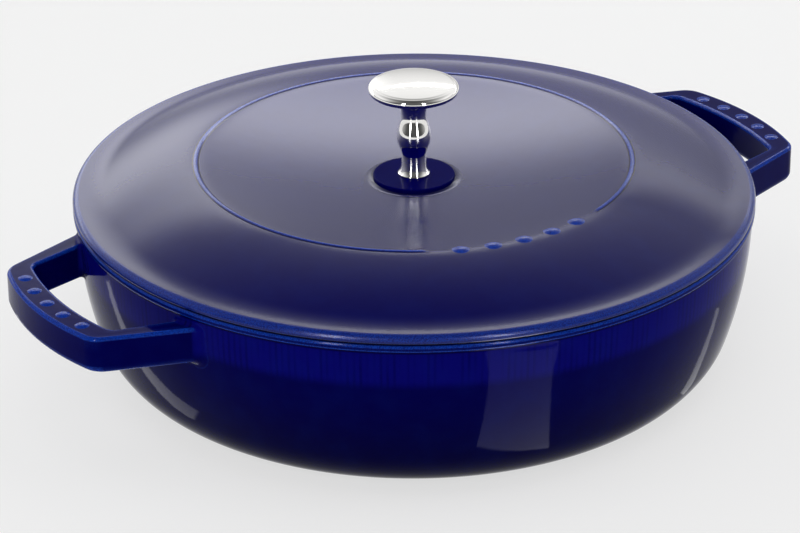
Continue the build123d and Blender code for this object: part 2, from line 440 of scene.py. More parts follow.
def finished(
    name: str,
    mesh: bmesh.types.BMesh,
    body: str,
    slot: Slot,
    materials: Sequence[bpy.types.Material],
) -> bpy.types.Object:
    """Makes an object of a mesh, smooth shaded, dressed and riding on its body.

    Args:
        name: Its name.
        mesh: Its mesh, which is freed.
        body: The body that carries it.
        slot: Its material slot in the record.
        materials: Its materials, in the order of its faces' coats.

    Returns:
        The object.
    """
    bmesh.ops.remove_doubles(mesh, verts=mesh.verts, dist=JOINED_WITHIN)
    bmesh.ops.recalc_face_normals(mesh, faces=mesh.faces)
    if slot is Slot.IRON:
        GlazeMarks().store(mesh)
    data = bpy.data.meshes.new(name)
    mesh.to_mesh(data)
    mesh.free()
    data.shade_smooth()
    for material in materials:
        data.materials.append(material)
    piece = bpy.data.objects.new(name, data)
    bpy.context.scene.collection.objects.link(piece)
    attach(piece, body)
    log.info("%s: %d faces on body %s", name, len(data.polygons), body)
    return piece


class Nodes:
    """A node tree, with short calls for the nodes that finishes and lamps use."""

    def __init__(self, tree: bpy.types.NodeTree) -> None:
        """Takes the tree that gets the nodes."""
        self.tree = tree

    def node(
        self, kind: str, inputs: dict[str | int, Feed] | None = None, **settings: str
    ) -> bpy.types.Node:
        """Adds a node.

        Args:
            kind: Its type name without the leading ShaderNode.
            inputs: Values or output sockets for its inputs, by name or number.
            settings: Its own properties.

        Returns:
            The node.
        """
        node = self.tree.nodes.new(f"ShaderNode{kind}")
        for key, value in settings.items():
            setattr(node, key, value)
        for key, value in (inputs or {}).items():
            self.feed(node.inputs[key], value)
        return node

    def feed(self, socket: bpy.types.NodeSocket, value: Feed) -> None:
        """Links an output socket to an input, or sets the input to a value.

        Args:
            socket: The input.
            value: The output socket or the value.
        """
        if isinstance(value, bpy.types.NodeSocket):
            self.tree.links.new(value, socket)
        else:
            socket.default_value = value

    def math(self, operation: str, *values: Feed) -> bpy.types.NodeSocket:
        """Result of a math node.

        Args:
            operation: What it does.
            values: Its inputs, in order.

        Returns:
            Its output.
        """
        node = self.node("Math", operation=operation)
        for socket, value in zip(node.inputs, values):
            self.feed(socket, value)
        return node.outputs[0]

    def ramp(
        self, value: Feed, source: Span, target: Span = (0.0, 1.0), ease: Ease = Ease.SMOOTH
    ) -> bpy.types.NodeSocket:
        """Maps a value from one range onto another.

        Args:
            value: The value.
            source: The range that it is measured on.
            target: What it becomes at the ends of that range.
            ease: How it goes between them.

        Returns:
            The mapped value.
        """
        inputs = {"Value": value, "From Min": source[0], "From Max": source[1]}
        inputs |= {"To Min": target[0], "To Max": target[1]}
        return self.node("MapRange", inputs, interpolation_type=ease.value).outputs[0]

    def dot(self, vector: Feed, axis: Vector) -> bpy.types.NodeSocket:
        """Length of a vector along an axis."""
        inputs = {0: vector, 1: axis}
        return self.node("VectorMath", inputs, operation="DOT_PRODUCT").outputs["Value"]

    def split(self, vector: Feed) -> Sequence[bpy.types.NodeSocket]:
        """The three coordinates of a vector."""
        return self.node("SeparateXYZ", {0: vector}).outputs

    def from_axis(self, place: Sequence[bpy.types.NodeSocket]) -> bpy.types.NodeSocket:
        """Distance from the Z axis of a place, given as its coordinates."""
        flat = self.node("CombineXYZ", {0: place[0], 1: place[1]}).outputs[0]
        return self.node("VectorMath", {0: flat}, operation="LENGTH").outputs["Value"]


class Shader(Nodes):
    """A material with one Principled shader."""

    def __init__(self, name: str) -> None:
        """Starts the material.

        Args:
            name: Its name.
        """
        self.material = bpy.data.materials.new(name)
        self.material.use_nodes = True
        super().__init__(self.material.node_tree)
        self.surface = self.tree.nodes["Principled BSDF"]

    def place(self) -> bpy.types.NodeSocket:
        """Position on the piece, in its own frame."""
        return self.node("TexCoord").outputs["Object"]

    def noise(self, vector: Feed, scale: float, detail: float) -> bpy.types.NodeSocket:
        """Smooth noise about a half, at a scale in cells a metre."""
        inputs = {"Vector": vector, "Scale": scale, "Detail": detail}
        return self.node("TexNoise", inputs).outputs["Fac"]

    def attribute(self, name: str) -> bpy.types.NodeSocket:
        """Value of a float attribute of the mesh."""
        return self.node("Attribute", attribute_name=name).outputs["Fac"]

    def mix(self, factor: Feed, first: Feed, second: Feed) -> bpy.types.NodeSocket:
        """Mix of two colours.

        Args:
            factor: Share of the second one.
            first: The first colour.
            second: The second colour.

        Returns:
            The mixed colour.
        """
        node = self.node("Mix", data_type="RGBA")
        sockets = (node.inputs[0], node.inputs[6], node.inputs[7])
        for socket, value in zip(sockets, (factor, first, second)):
            self.feed(socket, value)
        return node.outputs[2]

    def bump(
        self, height: Feed, strength: float, distance: float, normal: Feed | None = None
    ) -> bpy.types.NodeSocket:
        """Normal of a bumped surface.

        Args:
            height: Its relief.
            strength: Share of the relief that shows.
            distance: Height of a relief of 1.
            normal: Normal of the surface under it, when that is bumped too.

        Returns:
            The normal.
        """
        inputs = {"Height": height, "Strength": strength, "Distance": distance}
        if normal is not None:
            inputs["Normal"] = normal
        return self.node("Bump", inputs).outputs[0]

    def finish(self, **inputs: Feed) -> bpy.types.Material:
        """Feeds the Principled shader.

        Args:
            inputs: Its inputs, named with underscores.

        Returns:
            The material.
        """
        for key, value in inputs.items():
            self.feed(self.surface.inputs[key.replace("_", " ")], value)
        return self.material


@dataclass(frozen=True)
class GlossyEnamel:
    """Translucent cobalt glaze: almost black where it is thick, bright blue where it runs thin.

    Painted shade: the pooled colour is also mixed in towards the foot, darker lower down the wall.
    Painted shade darkens the gap where the lid's lower edge meets the rim. A glaze with the painted
    light band has painted light: a lighter band on the upper wall below the rim, with a comb of
    fine darker upright bars. The band's spans are the heights and the radii between which it fades
    in or out.
    """

    name: str
    thin_edges: bool = True
    painted_light_band: bool = False
    deep: Colour = (0.0006, 0.0001, 0.082, 1.0)
    pooled: Colour = (0.0006, 0.0001, 0.020, 1.0)
    # Colour of the painted light band on the upper wall, below the rim.
    lit_band_colour: Colour = (0.0030, 0.0025, 0.190, 1.0)
    bright: Colour = (0.005, 0.050, 0.44, 1.0)
    # Colour of the painted shade in the gap where the lid's lower edge meets the rim.
    gap_shade: Colour = (0.0010, 0.0015, 0.030, 1.0)
    sheen_tint: Colour = (0.30, 0.30, 1.0, 1.0)
    roughness: float = 0.07
    index: float = 1.09
    edge_gloss: float = 0.15
    edge_roughness: float = 0.12
    detail: float = 3.0
    speck_scale: float = 2000.0
    speck_range: Span = (0.35, 0.65)
    speck_gain: Span = (0.30, 1.30)
    cloud_scale: float = 90.0
    cloud_range: Span = (0.35, 0.75)
    cloud_gain: Span = (0.0, 0.03)
    # Painted shade towards the foot: the height where it ends, and its share at the foot.
    foot_shade_height: float = 58 * MM
    foot_painted_shade: float = 0.75
    gap_shade_height: float = 74 * MM
    gap_shade_edges: Span = (0.3 * MM, 0.9 * MM)
    peel_scale: float = 260.0
    peel_detail: float = 1.0
    peel_height: float = 0.02 * MM
    grain_strength: float = 0.5
    bar_count: float = 340.0
    bar_range: Span = (-0.9, 0.4)
    bar_depth: float = 0.45
    bar_patch_scale: float = 28.0
    bar_patch_detail: float = 2.0
    bar_patch_range: Span = (0.35, 0.65)
    band_level: float = 0.85
    band_low: Span = (53 * MM, 58 * MM)
    band_top: Span = (69 * MM, 70 * MM)
    band_reach: Span = (142.5 * MM, 143.5 * MM)

    def material(self) -> bpy.types.Material:
        """Builds the glaze, with its specks, clouds, bars and faint orange peel.

        Returns:
            The material.
        """
        shader = Shader(self.name)
        place = shader.place()
        split = shader.split(place)
        # Painted shade: the pooled colour is mixed in towards the foot, darker lower down the wall.
        low = shader.ramp(split[2], (0.0, self.foot_shade_height), (self.foot_painted_shade, 0.0))
        pool = shader.math("MAXIMUM", shader.attribute(POOL_LAYER), low)
        thick = shader.mix(pool, self.deep, self.pooled)
        # Painted light: a lighter band on the upper wall below the rim, broken by fine darker
        # upright bars.
        if self.painted_light_band:
            thick = shader.mix(self.bars(shader, split), thick, self.lit_band_colour)
        clouds = shader.noise(place, self.cloud_scale, self.detail)
        light = shader.ramp(clouds, self.cloud_range, self.cloud_gain)
        peel = shader.noise(place, self.peel_scale, self.peel_detail)
        normal = shader.bump(peel, 1.0, self.peel_height)
        coat: Feed = 0.0
        if self.thin_edges:
            thin = shader.attribute(EDGE_LAYER)
            specks = shader.noise(place, self.speck_scale, self.detail)
            gain = shader.ramp(specks, self.speck_range, self.speck_gain)
            light = shader.math("ADD", shader.math("MULTIPLY", thin, gain), light)
            grain = shader.math("MULTIPLY", specks, thin)
            normal = shader.bump(grain, self.grain_strength, self.peel_height, normal)
            coat = shader.math("MULTIPLY", thin, self.edge_gloss)
        colour = shader.mix(shader.math("MINIMUM", light, 1.0), thick, self.bright)
        # Painted shade in the gap between lid and rim, within a narrow span of the seam height.
        away = shader.math("ABSOLUTE", shader.math("SUBTRACT", split[2], self.gap_shade_height))
        return shader.finish(
            Base_Color=shader.mix(shader.ramp(away, self.gap_shade_edges), self.gap_shade, colour),
            Roughness=self.roughness,
            IOR=self.index,
            Specular_Tint=self.sheen_tint,
            Coat_Weight=coat,
            Coat_Roughness=self.edge_roughness,
            Normal=normal,
        )

    def bars(
        self, shader: Shader, place: Sequence[bpy.types.NodeSocket]
    ) -> bpy.types.NodeSocket:
        """Share of the painted light band's colour, with its darker bars.

        Args:
            shader: The glaze's nodes.
            place: Coordinates of the place on the piece.

        Returns:
            The share.
        """
        angle = shader.math("ARCTAN2", place[1], place[0])
        wave = shader.math("SINE", shader.math("MULTIPLY", angle, self.bar_count))
        around = shader.node("CombineXYZ", {0: angle, 2: place[2]}).outputs[0]
        patches = shader.noise(around, self.bar_patch_scale, self.bar_patch_detail)
        comb = shader.math(
            "MULTIPLY",
            shader.ramp(wave, self.bar_range, (1.0, 0.0)),
            shader.ramp(patches, self.bar_patch_range),
        )
        comb = shader.math("MULTIPLY", comb, self.bar_depth)
        level = shader.math("SUBTRACT", self.band_level, comb)
        rise = shader.ramp(place[2], self.band_low)
        fall = shader.ramp(place[2], self.band_top, (1.0, 0.0))
        wall = shader.ramp(shader.from_axis(place), self.band_reach, (1.0, 0.0))
        band = shader.math("MULTIPLY", rise, fall)
        return shader.math("MULTIPLY", band, shader.math("MULTIPLY", wall, level))


@dataclass(frozen=True)
class MatteEnamel:
    """Rough black enamel, inside the pan, on its rim and under the lid."""

    name: str = "matte_enamel"
    colour: Colour = (0.011, 0.011, 0.012, 1.0)
    grey: Colour = (0.028, 0.028, 0.030, 1.0)
    grain_scale: float = 1900.0
    grain_detail: float = 4.0
    grain_range: Span = (0.45, 0.75)
    grain_strength: float = 0.8
    grain_height: float = 0.05 * MM
    cloud_scale: float = 60.0
    cloud_detail: float = 3.0
    cloud_range: Span = (0.3, 0.7)
    roughness: Span = (0.46, 0.60)

    def material(self) -> bpy.types.Material:
        """Builds the enamel with its fine grain.

        Returns:
            The material.
        """
        shader = Shader(self.name)
        place = shader.place()
        grain = shader.noise(place, self.grain_scale, self.grain_detail)
        clouds = shader.noise(place, self.cloud_scale, self.cloud_detail)
        return shader.finish(
            Base_Color=shader.mix(shader.ramp(grain, self.grain_range), self.colour, self.grey),
            Roughness=shader.ramp(clouds, self.cloud_range, self.roughness),
            Normal=shader.bump(grain, self.grain_strength, self.grain_height),
        )


@dataclass(frozen=True)
class TurnedMetal:
    """Bare metal with the fine rings that turning and polishing leave."""

    name: str
    colour: Colour
    roughness: float
    ring_depth: float
    ring_pitch: float = 0.22 * MM
    ring_detail: float = 2.0
    ring_strength: float = 0.6
    wear_scale: float = 320.0
    wear_detail: float = 3.0
    wear_range: Span = (0.3, 0.75)
    wear_gain: float = 1.8

    def material(self) -> bpy.types.Material:
        """Builds the metal, with its rings about the Z axis.

        Returns:
            The material.
        """
        shader = Shader(self.name)
        place = shader.place()
        split = shader.split(place)
        along = shader.math("ADD", shader.from_axis(split), split[2])
        rings = shader.node("CombineXYZ", {0: along}).outputs[0]
        groove = shader.noise(rings, 1 / self.ring_pitch, self.ring_detail)
        wear = shader.noise(place, self.wear_scale, self.wear_detail)
        worn = self.roughness * self.wear_gain
        return shader.finish(
            Base_Color=self.colour,
            Metallic=1.0,
            Roughness=shader.ramp(wear, self.wear_range, (self.roughness, worn)),
            Normal=shader.bump(groove, self.ring_strength, self.ring_depth),
        )


@dataclass
class Pan:
    """The cast body with its rim bead, base recess and two loop handles."""

    height: float = 74 * MM
    rim_radius: float = 142 * MM
    rim_gloss_width: float = 2.5 * MM
    wall: float = 4.2 * MM
    floor: float = 4.8 * MM
    crease_drop: float = 4 * MM
    bead_proud: float = 1 * MM
    bead_slope: float = 1 * MM
    bead_top_round: float = 1.8 * MM
    bead_low_round: float = 0.9 * MM
    crease_round: float = 0.45 * MM
    rim_inner_round: float = 0.9 * MM
    belly_radius: float = 168 * MM
    turn_radius: float = 28 * MM
    inner_turn_radius: float = 24 * MM
    foot_width: float = 8.35 * MM
    foot_round: float = 0.5 * MM
    recess_depth: float = 0.6 * MM
    recess_slope: float = 1.2 * MM
    steps: int = 384
    belly_steps: int = 26
    turn_steps: int = 16

    @property
    def crease_z(self) -> float:
        """Height of the crease under the bead."""
        return self.height - self.crease_drop

    @property
    def wall_radius(self) -> float:
        """Radius of the wall at the crease."""
        return self.rim_radius - self.bead_proud

    @property
    def belly_centre(self) -> Vector:
        """Middle of the belly's arc, as radius and height."""
        return Vector((self.wall_radius - self.belly_radius, self.crease_z))

    def outside_radius(self, z: float) -> float:
        """Radius of the belly's outside at a height."""
        return self.belly_centre.x + math.sqrt(self.belly_radius**2 - (z - self.crease_z) ** 2)

    def wall_normal(self, point: Vector) -> Vector:
        """Outward direction square to the belly.

        Args:
            point: A point on it.

        Returns:
            The direction.
        """
        side = point.xy.length - self.belly_centre.x
        flat = point.xy.normalized() * side
        return Vector((flat.x, flat.y, point.z - self.crease_z)).normalized()

    def belly(
        self, start_radius: float, belly: float, turn: float, low: float
    ) -> tuple[Run, Run]:
        """The wall's long arc and the turn that takes it into a level floor.

        Args:
            start_radius: Radius of the wall at the crease.
            belly: Radius of the long arc.
            turn: Radius of the turn.
            low: Height of the level that the turn ends on.

        Returns:
            Both runs, from the crease down.
        """
        centre = Vector((start_radius - belly, self.crease_z))
        sweep = math.asin((self.crease_z - low - turn) / (belly - turn))
        joint = centre + (belly - turn) * Vector((math.cos(sweep), -math.sin(sweep)))
        return (
            arc(centre, belly, 0.0, -sweep, self.belly_steps),
            arc(joint, turn, -sweep, -math.pi / 2, self.turn_steps),
        )

    def outside(self) -> Run:
        """Half section of the glossy outside.

        Returns:
            Its points, from the rim's top edge down to the foot.
        """
        long_arc, turn = self.belly(self.wall_radius, self.belly_radius, self.turn_radius, 0.0)
        start = Vector((self.rim_radius - self.rim_gloss_width, self.height))
        outline = Outline()
        outline.add(line(start, Vector((self.rim_radius, self.height))))
        outline.to(self.rim_radius, self.crease_z + self.bead_slope, self.bead_top_round)
        outline.to(self.wall_radius, self.crease_z, self.bead_low_round)
        outline.add(long_arc, self.crease_round)
        outline.add(turn)
        return outline.points()

    def underside(self) -> Run:
        """Half section of the matte underside.

        Returns:
            Its points, from the turn to the middle.
        """
        foot = self.outside()[-1].x
        recess = foot - self.foot_width
        outline = Outline()
        outline.add(line(Vector((foot, 0)), Vector((recess, 0))))
        outline.to(recess - self.recess_slope, self.recess_depth, self.foot_round)
        outline.to(0, self.recess_depth, self.foot_round)
        return outline.points()

    def inside(self) -> Run:
        """Half section of the matte inside.

        Returns:
            Its points, from the middle of the floor up over the rim.
        """
        radius = self.wall_radius - self.wall
        arc_radius = self.belly_radius - self.wall
        belly, turn = self.belly(radius, arc_radius, self.inner_turn_radius, self.floor)
        outline = Outline()
        outline.add(line(Vector((0, self.floor)), turn[-1]))
        outline.add(turn[::-1])
        outline.add(belly[::-1])
        outline.to(radius, self.height)
        outline.to(self.rim_radius - self.rim_gloss_width, self.height, self.rim_inner_round)
        return outline.points()

    def build(self, handle: Handle, enamels: Sequence[bpy.types.Material]) -> None:
        """Models the pan with both handles, and shows it for its node.

        Args:
            handle: The handle that it has on both sides.
            enamels: Its materials, by coat.
        """
        mesh = bmesh.new()
        turned(mesh, self.inside(), self.steps, Coat.MATTE)
        turned(mesh, self.outside(), self.steps, Coat.GLOSSY)
        turned(mesh, self.underside(), self.steps, Coat.MATTE)
        merge(mesh, handle.mesh(self), (0.0, math.pi))
        piece = finished("pan_body", mesh, "pan", Slot.IRON, enamels)
        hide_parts("pan")


@dataclass
class Handle:
    """A flat loop cast on the pan's side, with flared roots and studs on its bar.

    A root's flare is smaller on its upper side. Below the flare it goes on a little way along and
    under the wall's surface, to a cap inside the wall.
    """

    projection: float = 35.15 * MM
    half_span: float = 37.4 * MM
    bow: float = 6.2 * MM
    bar_width: float = 12.2 * MM
    opening_half_span: float = 34.5 * MM
    opening_bow: float = 4.5 * MM
    outer_splay: float = math.radians(19.5)
    inner_splay: float = math.radians(14.0)
    outer_corner_round: float = 9 * MM
    opening_corner_round: float = 6 * MM
    root_depth: float = 30 * MM
    drop: float = 6.9 * MM
    height: float = 15.5 * MM
    top_round: float = 1.5 * MM
    low_round: float = 3.0 * MM
    root_flare: float = 3.2 * MM
    upper_flare_loss: float = 0.45
    straight_share: float = 0.96
    sunk_reach: float = 0.5 * MM
    sunk_depth: float = 0.06 * MM
    cap_share: float = 0.8
    cap_depth: float = 1.5 * MM
    stud: Relief = Relief(radius=3 * MM, height=0.6 * MM, steps=28, rings=9)
    stud_count: int = 5
    stud_pitch: float = 12.4 * MM
    arm_steps: int = 6
    corner_steps: int = 9
    bar_steps: int = 18
    flare_steps: int = 8

    def plan_side(self, corner: Vector, bow: float, splay: float, rounding: float) -> Run:
        """One side of the loop from above, always with the same number of points.

        Args:
            corner: Where arm and bar meet, before the corner is rounded.
            bow: How far the bar stands out past the corners.
            splay: Angle of the arm against the handle's middle line.
            rounding: Radius of the corner.

        Returns:
            Points from the root at -Y to the root at +Y. The first and last ones are the ends
            of the arms, inside the wall.
        """
        radius = (corner.y**2 + bow**2) / (2 * bow)
        middle = Vector((corner.x + bow - radius, 0))
        sweep = math.asin(corner.y / radius)
        arm = Vector((-math.cos(splay), math.sin(splay)))
        bar = Vector((math.sin(sweep), -math.cos(sweep)))
        bend = math.pi - arm.angle(bar)
        setback = rounding * math.tan(bend / 2)
        half = arc(middle, radius, 0.0, sweep - setback / radius, self.bar_steps // 2)
        bar_end, arm_start = half[-1], corner + arm * setback
        for step in range(1, self.corner_steps + 1):
            half.append(conic(bar_end, corner, arm_start, bend, step / self.corner_steps))
        half.append(arm_start + arm * self.root_depth)
        return [Vector((point.x, -point.y)) for point in half[:0:-1]] + half

    def section(self, inner: Vector, outer: Vector, top: float) -> Run:
        """A closed loop of points round the bar.

        Args:
            inner: Where the bar's inner side is, in plan.
            outer: Where its outer side is.
            top: Height of its top.

        Returns:
            The points.
        """
        across = outer - inner
        width = across.length
        low = top - self.height
        outline = Outline()
        outline.add(line(Vector((width / 2, top)), Vector((width, top))))
        outline.to(width, low, self.top_round)
        outline.to(0, low, self.low_round)
        outline.to(0, top, self.low_round)
        outline.to(width / 2, top, self.top_round)
        loop = []
        for point in outline.points()[:-1]:
            spot = inner + across * (point.x / width)
            loop.append(Vector((spot.x, spot.y, point.y)))
        return loop

    def sections(self, pan: Pan) -> list[Run]:
        """The loops along the handle.

        Args:
            pan: The pan that it is cast on.

        Returns:
            The loops from root to root, of which the end ones lie inside the wall.
        """
        reach = pan.rim_radius + self.projection
        outer_corner = Vector((reach - self.bow, self.half_span))
        inner_reach = reach - self.bar_width - self.opening_bow
        inner_corner = Vector((inner_reach, self.opening_half_span))
        outer = self.plan_side(outer_corner, self.bow, self.outer_splay, self.outer_corner_round)
        inner = self.plan_side(
            inner_corner, self.opening_bow, self.inner_splay, self.opening_corner_round
        )
        top = pan.height - self.drop
        return [self.section(start, end, top) for start, end in zip(inner, outer)]

    def root(self, pan: Pan, arm: Run, deep: Run) -> list[Run]:
        """Loops that take an arm into the wall with a flare.

        Args:
            pan: The pan that it grows from.
            arm: The loop where the straight arm starts.
            deep: The loop at the arm's end, inside the wall.

        Returns:
            Loops from the arm's start to a cap inside the wall.
        """
        meets = [self.meeting(pan, start, end) for start, end in zip(arm, deep)]
        centre = sum(meets, Vector()) / len(meets)
        starts, feet, sunk = [], [], []
        for place, meet in enumerate(meets):
            out = (arm[place] - deep[place]).normalized()
            around = meets[(place + 1) % len(meets)] - meets[place - 1]
            side = around.cross(out).normalized()
            side = side if side.dot(meet - centre) > 0 else -side
            square = pan.wall_normal(meet)
            along = (side - square * side.dot(square)).normalized()
            flare = self.root_flare * (1 - self.upper_flare_loss * max(0.0, side.z))
            starts.append(meet + out * flare)
            feet.append(self.on_wall(pan, meet + along * flare, 0.0))
            beyond = meet + along * (flare + self.sunk_reach)
            sunk.append(self.on_wall(pan, beyond, -self.sunk_depth))
        loops = []
        for step in range(self.arm_steps + 1):
            share = step / self.arm_steps * self.straight_share
            loops.append([point.lerp(start, share) for point, start in zip(arm, starts)])
        for step in range(self.flare_steps + 1):
            share = step / self.flare_steps
            loops.append([conic(*ends, 0.0, share) for ends in zip(starts, meets, feet)])
        cap = [
            centre.lerp(point, self.cap_share) - pan.wall_normal(point) * self.cap_depth
            for point in sunk
        ]
        return [*loops, sunk, cap]

    @staticmethod
    def on_wall(pan: Pan, point: Vector, lift: float) -> Vector:
        """The point moved level onto the belly, or a lift outside it."""
        flat = point.xy.normalized() * (pan.outside_radius(min(point.z, pan.crease_z)) + lift)
        return Vector((flat.x, flat.y, point.z))

    @staticmethod
    def meeting(pan: Pan, start: Vector, end: Vector) -> Vector:
        """Where a level line meets the belly.

        Args:
            pan: The pan with the belly.
            start: A point of the line outside it.
            end: A point of the line inside it.

        Returns:
            The point.
        """
        radius = pan.outside_radius(start.z)
        way = (end - start).xy
        squared, half_linear = way.dot(way), start.xy.dot(way)
        rest = start.xy.dot(start.xy) - radius**2
        share = (-half_linear - math.sqrt(half_linear**2 - squared * rest)) / squared
        return start + (end - start) * share

    def mesh(self, pan: Pan) -> bmesh.types.BMesh:
        """Models the handle on the side of +X.

        Args:
            pan: The pan that it is cast on.

        Returns:
            Its mesh.
        """
        mesh = bmesh.new()
        sections = self.sections(pan)
        first = self.root(pan, sections[1], sections[0])
        last = self.root(pan, sections[-2], sections[-1])
        loops = first[::-1] + sections[2:-2] + last
        verts = [mesh.verts.new(point) for point in loops[0]]
        mesh.faces.new(verts)
        for loop in loops[1:]:
            verts = self.next_loop(mesh, verts, loop)
        mesh.faces.new(verts)
        top = pan.height - self.drop
        bar_middle = pan.rim_radius + self.projection - self.bar_width / 2
        for place in range(self.stud_count):
            y = (place - (self.stud_count - 1) / 2) * self.stud_pitch
            spot = Vector((bar_middle - self.bow * (y / self.half_span) ** 2, y))
            self.stud.add(mesh, spot, lambda _: top)
        return mesh

    @staticmethod
    def next_loop(
        mesh: bmesh.types.BMesh, verts: list[bmesh.types.BMVert], loop: Run
    ) -> list[bmesh.types.BMVert]:
        """Extrudes a closed loop of vertices onto the next loop's points.

        Args:
            mesh: The mesh that has the vertices.
            verts: The loop that is extruded.
            loop: Where the copies go.

        Returns:
            The copies, in the same order.
        """
        edges = [mesh.edges.get((verts[place - 1], verts[place])) for place in range(len(verts))]
        made = bmesh.ops.extrude_edge_only(mesh, edges=edges)["geom"]
        fresh = {element for element in made if isinstance(element, bmesh.types.BMVert)}
        copies = []
        for vert, point in zip(verts, loop):
            others = (edge.other_vert(vert) for edge in vert.link_edges)
            copy = next(other for other in others if other in fresh)
            copy.co = point
            copies.append(copy)
        return copies


@dataclass
class Lid:
    """The cast lid: flange, dome, dished middle, raised ring, studs, boss, skirt and drip nubs."""

    rim_radius: float = 142 * MM
    rest_z: float = 74 * MM
    edge_gloss_width: float = 2 * MM
    flange_thickness: float = 3.6 * MM
    flange_top_round: float = 2.6 * MM
    flange_low_round: float = 0.7 * MM
    band_width: float = 9.5 * MM
    band_round: float = 20 * MM
    dome_width: float = 41.9 * MM
    crest_height: float = 15.3 * MM
    crest_round: float = 30 * MM
    dome_radius: float = 125 * MM
    dish_depth: float = 9.9 * MM
    thickness: float = 4 * MM
    ring_half_width: float = 1.3 * MM
    ring_height: float = 0.5 * MM
    ring_softness: float = 1.3
    ring_gap: float = math.radians(52.6)
    turn: float = math.radians(-3.5)
    boss_radius: float = 17.1 * MM
    boss_height: float = 1.8 * MM
    boss_round: float = 0.7 * MM
    pad_radius: float = 12 * MM
    pad_proud: float = 0.5 * MM
    pad_round: float = 0.3 * MM
    bore_radius: float = 3.3 * MM
    skirt_radius: float = 136 * MM
    skirt_thickness: float = 3 * MM
    skirt_depth: float = 4 * MM
    skirt_round: float = 0.8 * MM
    nub: Relief = Relief(radius=3.2 * MM, height=-1.8 * MM, steps=16, rings=5)
    nub_pitch: float = 25 * MM
    first_nub_circle: float = 35 * MM
    nub_circles: int = 4
    stud: Relief = Relief(radius=3.6 * MM, height=0.8 * MM, steps=32, rings=12)
    stud_count: int = 5
    stud_pitch: float = 13.4 * MM
    steps: int = 384
    ring_stations: int = 22
    dish_steps: int = 24
    dish_under_steps: int = 12
    dome_steps: int = 18
    dome_under_steps: int = 10
    edge_margin: float = 1 * MM
    halvings: int = 40

    @property
    def crest_z(self) -> float:
        """Height at which dish and dome would meet."""
        return self.rest_z + self.crest_height

    @property
    def flange_z(self) -> float:
        """Height of the flange's flat top."""
        return self.rest_z + self.flange_thickness

    @property
    def band_radius(self) -> float:
        """Where the dome meets the flat band."""
        return self.rim_radius - self.band_width

    @property
    def ring_radius(self) -> float:
        """Radius of the raised ring, on the crest."""
        return self.band_radius - self.dome_width

    @property
    def dish_radius(self) -> float:
        """Radius of the ball that the dish is part of."""
        return (self.ring_radius**2 + self.dish_depth**2) / (2 * self.dish_depth)

    @property
    def dish_centre(self) -> Vector:
        """Middle of the dish's ball, as radius and height."""
        return Vector((0, self.crest_z - self.dish_depth + self.dish_radius))

    @property
    def dome_centre(self) -> Vector:
        """Middle of the dome's arc.

        Returns:
            Its radius and height.
        """
        crest = Vector((self.ring_radius, self.crest_z))
        edge = Vector((self.band_radius, self.flange_z))
        chord = edge - crest
        reach = math.sqrt(self.dome_radius**2 - (chord.length / 2) ** 2)
        return (crest + edge) / 2 + Vector((chord.y, -chord.x)).normalized() * reach

    def dish(self, start: float, end: float, thickness: float = 0.0) -> Run:
        """The dish, or its underside.

        Args:
            start: Radius at which it starts.
            end: Radius at which it ends.
            thickness: How far under the top it runs.

        Returns:
            Its points.
        """
        ball = self.dish_radius + thickness
        first, last = (math.asin(radius / ball) - math.pi / 2 for radius in (start, end))
        steps = self.dish_under_steps if thickness else self.dish_steps
        return arc(self.dish_centre, ball, first, last, steps)

    def dome(self, start: float, end: float, thickness: float = 0.0) -> Run:
        """The dome, or its underside.

        Args:
            start: Radius at which it starts.
            end: Radius at which it ends.
            thickness: How far under the top it runs.

        Returns:
            Its points.
        """
        ball = self.dome_radius - thickness
        aside = self.dome_centre.x
        first, last = (math.acos((radius - aside) / ball) for radius in (start, end))
        steps = self.dome_under_steps if thickness else self.dome_steps
        return arc(self.dome_centre, ball, first, last, steps)

    def under_crest(self) -> float:
        """Radius at which the undersides of dish and dome meet.

        Returns:
            The radius.
        """
        low, high = self.ring_radius - self.thickness, self.ring_radius + self.thickness
        for _ in range(self.halvings):
            middle = (low + high) / 2
            dish = self.dish(0, middle, self.thickness)[-1].y
            dome = self.dome(middle, self.band_radius, self.thickness)[0].y
            low, high = (middle, high) if dish < dome else (low, middle)
        return low

    def boss(self) -> Run:
        """Half section of the boss.

        Returns:
            Its points, from the bore to the dish.
        """
        low = self.dish(self.boss_radius, self.ring_radius)[0].y
        boss_z = low + self.boss_height
        outline = Outline()
        outline.add(line(Vector((self.bore_radius, boss_z)), Vector((self.boss_radius, boss_z))))
        outline.to(self.boss_radius, low, self.boss_round)
        return outline.points()

    def top(self) -> Run:
        """Half section of the glossy side.

        Returns:
            Its points, from the boss's foot to the flange's lower edge.
        """
        outline = Outline()
        outline.add(self.dish(self.boss_radius, self.ring_radius))
        outline.add(self.dome(self.ring_radius, self.band_radius), self.crest_round)
        outline.to(self.rim_radius, self.flange_z, self.band_round)
        outline.to(self.rim_radius, self.rest_z, self.flange_top_round)
        outline.to(self.rim_radius - self.edge_gloss_width, self.rest_z, self.flange_low_round)
        return self.with_ring_stations(outline.points())

    def rising(self, points: Run) -> Run:
        """The part of the top's outline that lies between the boss and the band."""
        start = self.boss_radius + self.edge_margin
        return [point for point in points if start < point.x < self.band_radius]

    def with_ring_stations(self, points: Run) -> Run:
        """The outline with more stations across the ring, where its relief is raised.

        Args:
            points: The outline.

        Returns:
            The outline with its new points.
        """
        reach = self.ring_half_width + SUPPORT
        inner = [point for point in points if point.x < self.ring_radius - reach]
        outer = [point for point in points[len(inner) :] if point.x > self.ring_radius + reach]
        surface = self.rising(points)
        stations = []
        for step in range(self.ring_stations + 1):
            radius = self.ring_radius + reach * (2 * step / self.ring_stations - 1)
            stations.append(Vector((radius, height_on(surface, radius))))
        return inner + stations + outer

